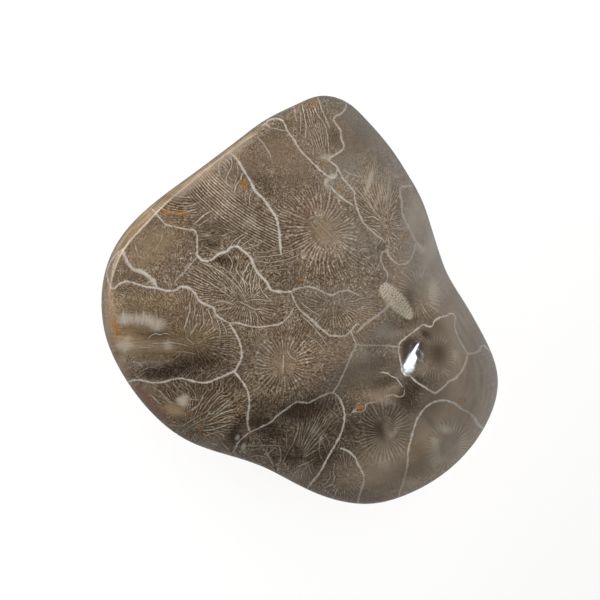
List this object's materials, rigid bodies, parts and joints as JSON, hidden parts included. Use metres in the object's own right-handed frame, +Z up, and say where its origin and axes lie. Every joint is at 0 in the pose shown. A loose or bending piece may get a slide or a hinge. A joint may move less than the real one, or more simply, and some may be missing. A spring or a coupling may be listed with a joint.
{
  "type": "polished fossil coral",
  "caption": "Polished free-form stone of colonial fossil coral, a rounded three-cornered lump with soft dips and lobes that lies on a small flat spot.",
  "frame": {"origin": "centre of the stone's box in plan, at the level of the flat spot it lies on", "axes": "+Z up out of the domed top face; +Y along the longest extent, towards the narrow rounded tip; +X to the right when the top face is seen with the tip away from the viewer"},
  "size_m": [0.0792, 0.0817, 0.0322],
  "materials": {
    "polished_coral": "polished"
  },
  "bodies": {
    "root": {"coral_stone": "polished_coral"}
  },
  "joints": []
}
